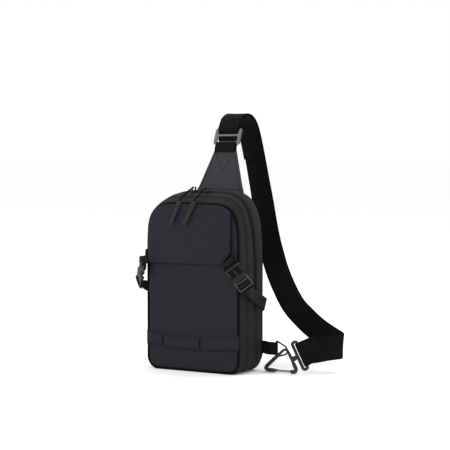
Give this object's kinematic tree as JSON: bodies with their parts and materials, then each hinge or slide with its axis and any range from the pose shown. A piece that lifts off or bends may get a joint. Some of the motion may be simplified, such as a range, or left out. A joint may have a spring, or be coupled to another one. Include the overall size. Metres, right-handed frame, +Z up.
{
  "type": "sling bag",
  "caption": "Structured one-strap sling bag with a buckled front flap over a pocket, zipped main compartment, webbing band, tapered yoke and clip-on shoulder strap.",
  "frame": {"origin": "middle of the flat base, on the surface the bag stands on", "axes": "+X to the right seen from the front, -Y out of the front, +Z up"},
  "size_m": [0.3233, 0.2114, 0.4015],
  "materials": {
    "body_fabric": "matte",
    "back_fabric": "matte",
    "mesh_fabric": "matte",
    "yoke_fabric": "matte",
    "binding": "matte",
    "webbing": "satin",
    "lining": "satin",
    "board": "matte",
    "zip_plastic": "satin",
    "dark_metal": "satin",
    "steel": "satin",
    "cord": "matte",
    "pull_rubber": "satin",
    "buckle_plastic": "satin"
  },
  "bodies": {
    "bag": {"front_gusset": "body_fabric", "rear_gusset": "body_fabric", "lower_gusset": "body_fabric", "bottom_panel": "body_fabric", "back_panel": "back_fabric", "front_wall": "body_fabric", "front_pocket": "body_fabric", "pocket_binding": "binding", "front_piping": "binding", "rear_piping": "binding", "back_pads": "mesh_fabric", "stiffener_board": "board", "inner_pocket": "lining", "utility_band": "body_fabric", "band_bartacks": "binding", "zip_lip": "body_fabric", "zip_coil": "zip_plastic", "flap_seam": "body_fabric", "left_buckle_plug": "buckle_plastic", "right_buckle_plug": "buckle_plastic", "left_side_strap": "webbing", "right_side_strap": "webbing", "left_strap_tail": "webbing", "right_strap_tail": "webbing", "yoke": "yoke_fabric", "yoke_loop": "webbing", "slider_buckle": "dark_metal", "shoulder_strap": "webbing", "shoulder_strap_tail": "webbing", "anchor_tab": "webbing", "swivel_post": "steel", "strap_ring": "dark_metal"},
    "flap": {"flap": "body_fabric", "left_flap_loop": "webbing", "right_flap_loop": "webbing", "left_buckle_socket": "buckle_plastic", "right_buckle_socket": "buckle_plastic"},
    "left_slider": {"left_slider": "dark_metal"},
    "right_slider": {"right_slider": "dark_metal"},
    "left_pull": {"left_pull_cord": "cord", "left_pull_tab": "pull_rubber"},
    "right_pull": {"right_pull_cord": "cord", "right_pull_tab": "pull_rubber"},
    "left_upper_prong": {"left_upper_prong": "buckle_plastic"},
    "left_lower_prong": {"left_lower_prong": "buckle_plastic"},
    "right_upper_prong": {"right_upper_prong": "buckle_plastic"},
    "right_lower_prong": {"right_lower_prong": "buckle_plastic"},
    "triangle_ring": {"triangle_ring": "dark_metal"},
    "hook": {"hook_body": "dark_metal", "gate_pin": "steel"},
    "gate": {"hook_gate": "steel"}
  },
  "joints": [
    {"name": "flap_hinge", "type": "hinge", "parent": "bag", "child": "flap", "pos_m": [0, -0.0424, 0.25425], "axis": [-1, 0, 0], "range_deg": [0, 100]},
    {"name": "left_slider_slide", "type": "slide", "parent": "bag", "child": "left_slider", "axis": [-1, 0, 0], "range_m": [0, 0.022]},
    {"name": "right_slider_slide", "type": "slide", "parent": "bag", "child": "right_slider", "axis": [1, 0, 0], "range_m": [0, 0.022]},
    {"name": "left_pull_swing", "type": "hinge", "parent": "left_slider", "child": "left_pull", "pos_m": [-0.02, -0.0026, 0.2826], "axis": [-1, 0, 0], "range_deg": [0, 50]},
    {"name": "right_pull_swing", "type": "hinge", "parent": "right_slider", "child": "right_pull", "pos_m": [0.004, -0.0026, 0.2826], "axis": [-1, 0, 0], "range_deg": [0, 50]},
    {"name": "left_upper_prong_flex", "type": "hinge", "parent": "bag", "child": "left_upper_prong", "pos_m": [-0.10134, -0.03048, 0.14954], "axis": [0.6428, 0.766, 0], "range_deg": [0, 8], "stiffness_Nm_per_rad": 0.05, "springref_deg": -2.86},
    {"name": "left_lower_prong_flex", "type": "hinge", "parent": "bag", "child": "left_lower_prong", "pos_m": [-0.09415, -0.03652, 0.14272], "axis": [-0.6428, -0.766, 0], "range_deg": [0, 8], "stiffness_Nm_per_rad": 0.05, "springref_deg": -2.86},
    {"name": "right_upper_prong_flex", "type": "hinge", "parent": "bag", "child": "right_upper_prong", "pos_m": [0.09154, -0.03985, 0.15274], "axis": [0.4067, -0.9135, 0], "range_deg": [0, 8], "stiffness_Nm_per_rad": 0.05, "springref_deg": -2.86},
    {"name": "right_lower_prong_flex", "type": "hinge", "parent": "bag", "child": "right_lower_prong", "pos_m": [0.08297, -0.04367, 0.14592], "axis": [-0.4067, 0.9135, 0], "range_deg": [0, 8], "stiffness_Nm_per_rad": 0.05, "springref_deg": -2.86},
    {"name": "triangle_ring_swing", "type": "hinge", "parent": "bag", "child": "triangle_ring", "pos_m": [0.1105, 0.0306, 0.0355], "axis": [0, 0, 1], "range_deg": [-2, 0]},
    {"name": "hook_swivel", "type": "hinge", "parent": "bag", "child": "hook", "pos_m": [0.14325, 0.0207, 0.0217], "axis": [0.8826, 0, 0.4702], "range_deg": [-1, 2]},
    {"name": "gate_hinge", "type": "hinge", "parent": "hook", "child": "gate", "pos_m": [0.115, 0.0207, 0.0034], "axis": [0, -1, 0], "range_deg": [0, 28], "stiffness_Nm_per_rad": 0.03, "springref_deg": -11.46}
  ],
  "couplings": [
    {"joint": "left_pull_swing", "follows": "flap_hinge", "ratio": 0.5},
    {"joint": "right_pull_swing", "follows": "flap_hinge", "ratio": 0.5}
  ]
}
